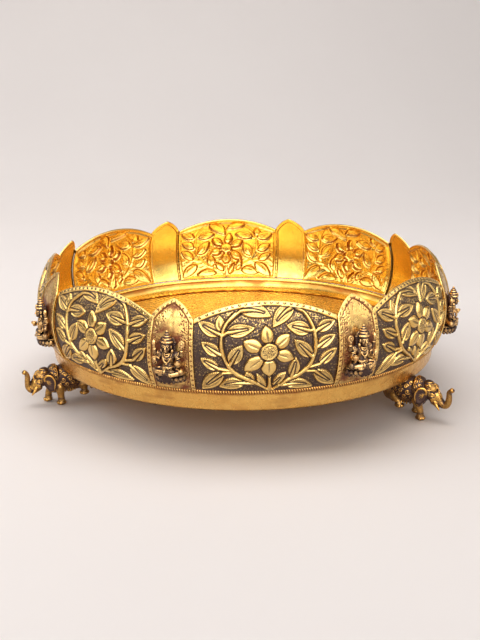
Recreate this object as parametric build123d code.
from build123d import *
import os
from math import sqrt

os.makedirs("parts", exist_ok=True)

# A wide brass urli: a floor plate inside a plain band, a wall of sixteen chased sheet panels, eight
# cast seated figures on the pointed panels, and three cast elephants that carry the bowl.
# Millimetres. The origin is on the bowl's axis, at the level that the elephants stand on.
# Each panel, figure and elephant is drawn facing +X and then turned to its own azimuth.

# Driving dimensions
rim_z = 123.0  # height of the panel tips
bulge_radius = 190.7  # outer radius of the wall at its widest
bulge_z = 83.3  # height of the widest place
wall_curve = 64.0  # radius of the wall's curve, seen in section
wall_base_z = 53.1  # lower edge of the wall
sheet = 1.3  # thickness of the wall panels
solder = 0.05  # thickness of the soldered joints

panel_count = 8  # wide panels, and as many pointed ones between them
panel_step = 360 / panel_count
wide_half_angle = 17.3  # the sides of a wide panel are lapped behind the pointed ones
wide_rim_half_angle = 16.7
wide_arch_radius = 123.7  # the round top of a wide panel
pointed_half_width = 18.6
pointed_foot_half_width = 17.8
pointed_shoulder_half_width = 17.6
pointed_shoulder_z = 109.0
border_width = 3.2
border_height = 0.6

band_low_z = 35.0
band_high_z = 49.8
band_low_radius = 179.5
band_high_radius = 180.8
band_thickness = 1.8
rope_radius = 183.6  # outer edge of the hatched line on top of the band
floor_top_z = 38.0
floor_thickness = 2.0

flare_tuck = 0.9  # how far the hatched line's edges fall back from its widest place
flare_width = 2.8  # width of the flare under the wall

elephant_azimuths = (49.5, 167.5, -72.5)  # from -Y towards +X

# Helpers' dimensions, not seen on the bowl
cut_reach = 250  # cutting shapes along X end outside the bowl
core_back = 150  # inner end of the wedge that trims the figures
core_half_angle = 10
pointed_half_angle = 9  # wide enough for a pointed panel before it is cut to its outline
overlap = 0.2  # how deep a border is sunk into its sheet
seam_turn = 77  # degrees

# Worked out from the driving dimensions
wall_centre_radius = bulge_radius - wall_curve
floor_radius = band_low_radius - band_thickness - solder
seat_z = band_low_z - solder
inner_seat_z = floor_top_z - floor_thickness - solder


def turned(solid, azimuth):
    """The solid turned from +X to an azimuth that is counted from -Y towards +X."""
    return Rot(0, 0, azimuth - 90) * solid


def ellipsoid(centre, half_lengths, tilt=(0, 0, 0)):
    """An ellipsoid with these half lengths along X, Y and Z, tilted about its own centre."""
    # The ball's seam is turned off the plane of symmetry, where neighbours' seams would meet it.
    ball = Rot(0, 0, seam_turn) * Sphere(1)
    return Pos(*centre) * Rot(*tilt) * scale(ball, by=half_lengths)


def limb(start, end, start_radius, end_radius):
    """A tapered round limb with a ball at each end."""
    run = Vector(*end) - Vector(*start)
    middle = (Vector(*start) + Vector(*end)) / 2
    place = Plane(origin=middle, z_dir=run)
    shaft = place * Cone(start_radius, end_radius, run.length)
    return Pos(*start) * Sphere(start_radius) + shaft + Pos(*end) * Sphere(end_radius)


def chain(points, radii):
    """Limbs in a row through the points."""
    body = limb(points[0], points[1], radii[0], radii[1])
    for i in range(1, len(points) - 1):
        body += limb(points[i], points[i + 1], radii[i], radii[i + 1])
    return body


def both_sides(solid):
    """The solid and its mirror image in the vertical plane through the X axis."""
    return solid + mirror(solid, about=Plane.XZ)


def wall_point(offset, z):
    """A point on the wall's curve, moved out by offset, in the XZ plane."""
    radius = wall_curve + offset
    return wall_centre_radius + sqrt(radius**2 - (z - bulge_z) ** 2), 0, z


def wall_arc(offset, low_z, high_z):
    """The wall's curve between two heights, moved out by offset."""
    heights = (low_z, (low_z + high_z) / 2, high_z)
    return ThreePointArc(*[wall_point(offset, z) for z in heights])


def wall_shell(inner, outer, half_angle, high_z=rim_z + 2):
    """A curved piece of wall between two offsets, centred on +X."""
    inside = wall_arc(inner, wall_base_z, high_z)
    outside = wall_arc(outer, wall_base_z, high_z)
    foot = Line(inside @ 0, outside @ 0)
    top = Line(inside @ 1, outside @ 1)
    section = make_face([inside, top, outside, foot])
    return Rot(0, 0, -half_angle) * revolve(section, Axis.Z, 2 * half_angle)


def wall_core(outer):
    """Everything inside the wall, out to an offset from its curve, centred on +X."""
    face_arc = wall_arc(outer, wall_base_z, rim_z)
    corners = [(core_back, 0, rim_z), (core_back, 0, wall_base_z)]
    back = Polyline(face_arc @ 1, *corners, face_arc @ 0)
    wedge = revolve(make_face([face_arc, back]), Axis.Z, 2 * core_half_angle)
    return Rot(0, 0, -core_half_angle) * wedge


def wide_arch(inset=0):
    """A drum along +X whose top is the round top of a wide panel."""
    along = (Align.CENTER, Align.CENTER, Align.MIN)
    drum = Cylinder(wide_arch_radius - inset, cut_reach, align=along)
    return Pos(0, 0, rim_z - wide_arch_radius) * Rot(0, 90, 0) * drum


def pointed_arch(inset=0):
    """A prism along +X with the outline of a pointed panel."""
    shoulder = (pointed_shoulder_half_width - inset, pointed_shoulder_z)
    hip = (pointed_half_width - inset, bulge_z)
    foot = (pointed_foot_half_width - inset, wall_base_z - 1)
    cheek = (10.1 - 0.8 * inset, 118.0 - 0.8 * inset)
    tip = (0, rim_z + 0.6 - 1.3 * inset)
    right = [ThreePointArc(foot, hip, shoulder), ThreePointArc(shoulder, cheek, tip)]
    left = [mirror(edge, about=Plane.YZ) for edge in right]
    outline = make_face(right + left + [Line(foot, (-foot[0], foot[1]))])
    return extrude(Plane.YZ * outline, cut_reach)


def wide_panel():
    """A wide panel: curved sheet with a round top and a raised border along it."""
    panel = wall_shell(-sheet, 0, wide_half_angle) & wide_arch()
    rim_shell = wall_shell(-overlap, border_height, wide_rim_half_angle)
    border = rim_shell & (wide_arch() - wide_arch(border_width))
    return panel + border


def pointed_panel():
    """A pointed panel: it lies on its neighbours' edges, with a raised border on both sides."""
    outer = solder + sheet
    panel = wall_shell(solder, outer, pointed_half_angle) & pointed_arch()
    rim_shell = wall_shell(outer - overlap, outer + border_height, pointed_half_angle)
    border = rim_shell & (pointed_arch() - pointed_arch(border_width))
    return panel + border


def base_band():
    """The plain band: an upright ring whose flared top edge is the hatched line."""
    inner_low = band_low_radius - band_thickness
    inner_high = band_high_radius - band_thickness
    flare_z = wall_base_z - solder
    rope_foot = (rope_radius - flare_tuck, 0, band_high_z)
    rope_edge = (rope_radius, 0, (band_high_z + flare_z) / 2)
    rope_top = (rope_radius - flare_tuck, 0, flare_z)
    band_foot = (band_low_radius, 0, band_low_z)
    outer_edge = Polyline(band_foot, (band_high_radius, 0, band_high_z), rope_foot)
    rope = ThreePointArc(rope_foot, rope_edge, rope_top)
    inner_edge = Polyline(
        rope_top,
        (rope_radius - flare_width, 0, flare_z),
        (inner_high, 0, band_high_z - band_thickness),
        (inner_low, 0, floor_top_z),
        (inner_low, 0, band_low_z),
        band_foot,
    )
    return revolve(make_face([outer_edge, rope, inner_edge]), Axis.Z)


def floor_plate():
    """The flat floor, soldered inside the band."""
    disc = Cylinder(floor_radius, floor_thickness, align=(Align.CENTER, Align.CENTER, Align.MAX))
    return Pos(0, 0, floor_top_z) * disc


def seated_figure():
    """A crowned four-armed figure on a lotus seat, cut to lie against its pointed panel."""
    seat = ellipsoid((190, 0, 64.5), (10, 12, 3.6)) + ellipsoid((190.5, 0, 67.8), (10, 11, 2.6))
    legs = ellipsoid((193, 0, 71.5), (9, 11.8, 4)) + both_sides(
        ellipsoid((196.5, 6.5, 72), (5.2, 5.2, 3.6))
    )
    torso = ellipsoid((194.5, 0, 79.5), (5.2, 5.4, 8.5)) + ellipsoid((194.3, 0, 83.6), (4.6, 6.6, 3.6))
    head = ellipsoid((196.6, 0, 91.3), (4.2, 3.9, 4.9)) + limb((195.6, 0, 84), (196.4, 0, 90), 2.5, 2.3)
    crown = Pos(195.6, 0, 98.5) * Cone(4.2, 1.4, 6.5) + Pos(195.6, 0, 102) * Sphere(1.4)
    halo = ellipsoid((192.8, 0, 91.5), (1.8, 5.8, 6.2))
    lower_arm = chain([(194.5, 6.2, 84), (196, 9.6, 77), (199.5, 8.8, 74.5)], [1.9, 1.6, 1.5])
    upper_arm = chain([(193.5, 6, 84.5), (194.2, 10.2, 83), (194.8, 10.6, 90)], [1.8, 1.5, 1.3])
    token = ellipsoid((194.8, 10.6, 92.8), (1.8, 1.9, 2.8))
    figure = seat + legs + torso + head + crown + halo + both_sides(lower_arm + upper_arm + token)
    return figure - wall_core(2 * solder + sheet)


def elephant_body():
    """Trunk of the body with the saddle cloth over it, and the neck that rises against the band."""
    barrel = ellipsoid((171, 0, 22), (17.5, 9.5, 11.5), (0, -4, 0))
    rump = ellipsoid((160, 0, 20.5), (8.5, 8.5, 10))
    cloth = ellipsoid((173.5, 0, 24.5), (12, 10.6, 13.5))
    saddle = Pos(171, 0, 31.5) * Box(24, 15, 10)
    neck = ellipsoid((184.5, 0, 27), (6.8, 9.2, 9.2), (0, 8, 0))
    tail = chain([(154, 0, 25), (151.5, 0, 19), (152.5, 0, 12)], [1.7, 1.3, 1.5])
    return barrel + rump + cloth + saddle + neck + tail


def elephant_head():
    """Domed head, spread ears, tusks and the raised trunk."""
    skull = limb((195.5, 0, 26.5), (199.5, 0, 22.5), 8.1, 6.3)
    crest = ellipsoid((193.4, 0, 32), (4, 4.4, 2.8))
    ear_slab = Pos(191, 9.3, 23) * Rot(0, 0, -22) * Box(20, 3.6, 20)
    ear = limb((190, 9.3, 26), (192, 9.6, 20.5), 3.9, 3.4) & ear_slab
    tusk = chain([(202, 4.2, 18.6), (204.8, 4.9, 14.6), (206.8, 5.1, 12.6)], [1.7, 1.4, 1.0])
    trunk_line = [
        (201.5, 0, 21.5),
        (205.4, 0, 16.4),
        (209.4, 0, 15.6),
        (211.8, 0, 20),
        (212, 0, 26.5),
        (213, 0, 30.5),
    ]
    trunk = chain(trunk_line, [5, 3.9, 3.3, 2.8, 2.4, 2.2])
    return skull + crest + both_sides(ear + tusk) + trunk


def elephant_legs():
    """The two standing forelegs and the two short hind legs, which hang clear of the table."""
    right_fore = chain([(186, -6, 18), (189, -6.4, 9), (190, -6.5, 3)], [5, 3.8, 4.3])
    left_fore = chain([(181, 6, 18), (181, 6.3, 9), (180.5, 6.5, 3)], [5, 3.8, 4.3])
    right_hind = chain([(165, -5.5, 17), (169.5, -6.2, 10)], [5, 3.8])
    left_hind = chain([(161, 5.5, 16), (159.5, 6.2, 9.5)], [5, 3.8])
    return right_fore + left_fore + right_hind + left_hind


def elephant_seat():
    """The space that the band and the floor plate take up, with the solder around them."""
    outline = Polyline(
        (100, 0, inner_seat_z),
        (floor_radius, 0, inner_seat_z),
        (floor_radius, 0, seat_z),
        (band_low_radius + solder, 0, seat_z),
        (band_high_radius + solder, 0, band_high_z),
        (100, 0, band_high_z),
        (100, 0, inner_seat_z),
    )
    return revolve(make_face(outline), Axis.Z)


def elephant():
    """One cast elephant facing +X, cut flat under its feet and to the band on its back."""
    body = elephant_body() + elephant_head() + elephant_legs()
    below_table = Pos(185, 0, -10) * Box(120, 60, 20)
    return body - below_table - elephant_seat()


def write(node, solid):
    """One STEP file, named after its node."""
    export_step(solid, f"parts/{node}.step")


write("floor_plate", floor_plate())
write("base_band", base_band())
wide = wide_panel()
pointed = pointed_panel()
figure = seated_figure()
for i in range(panel_count):
    pointed_azimuth = (i + 0.5) * panel_step
    write(f"wide_petal_{i + 1}", turned(wide, i * panel_step))
    write(f"pointed_petal_{i + 1}", turned(pointed, pointed_azimuth))
    write(f"figure_{i + 1}", turned(figure, pointed_azimuth))
animal = elephant()
for i, azimuth in enumerate(elephant_azimuths):
    write(f"elephant_{i + 1}", turned(animal, azimuth))
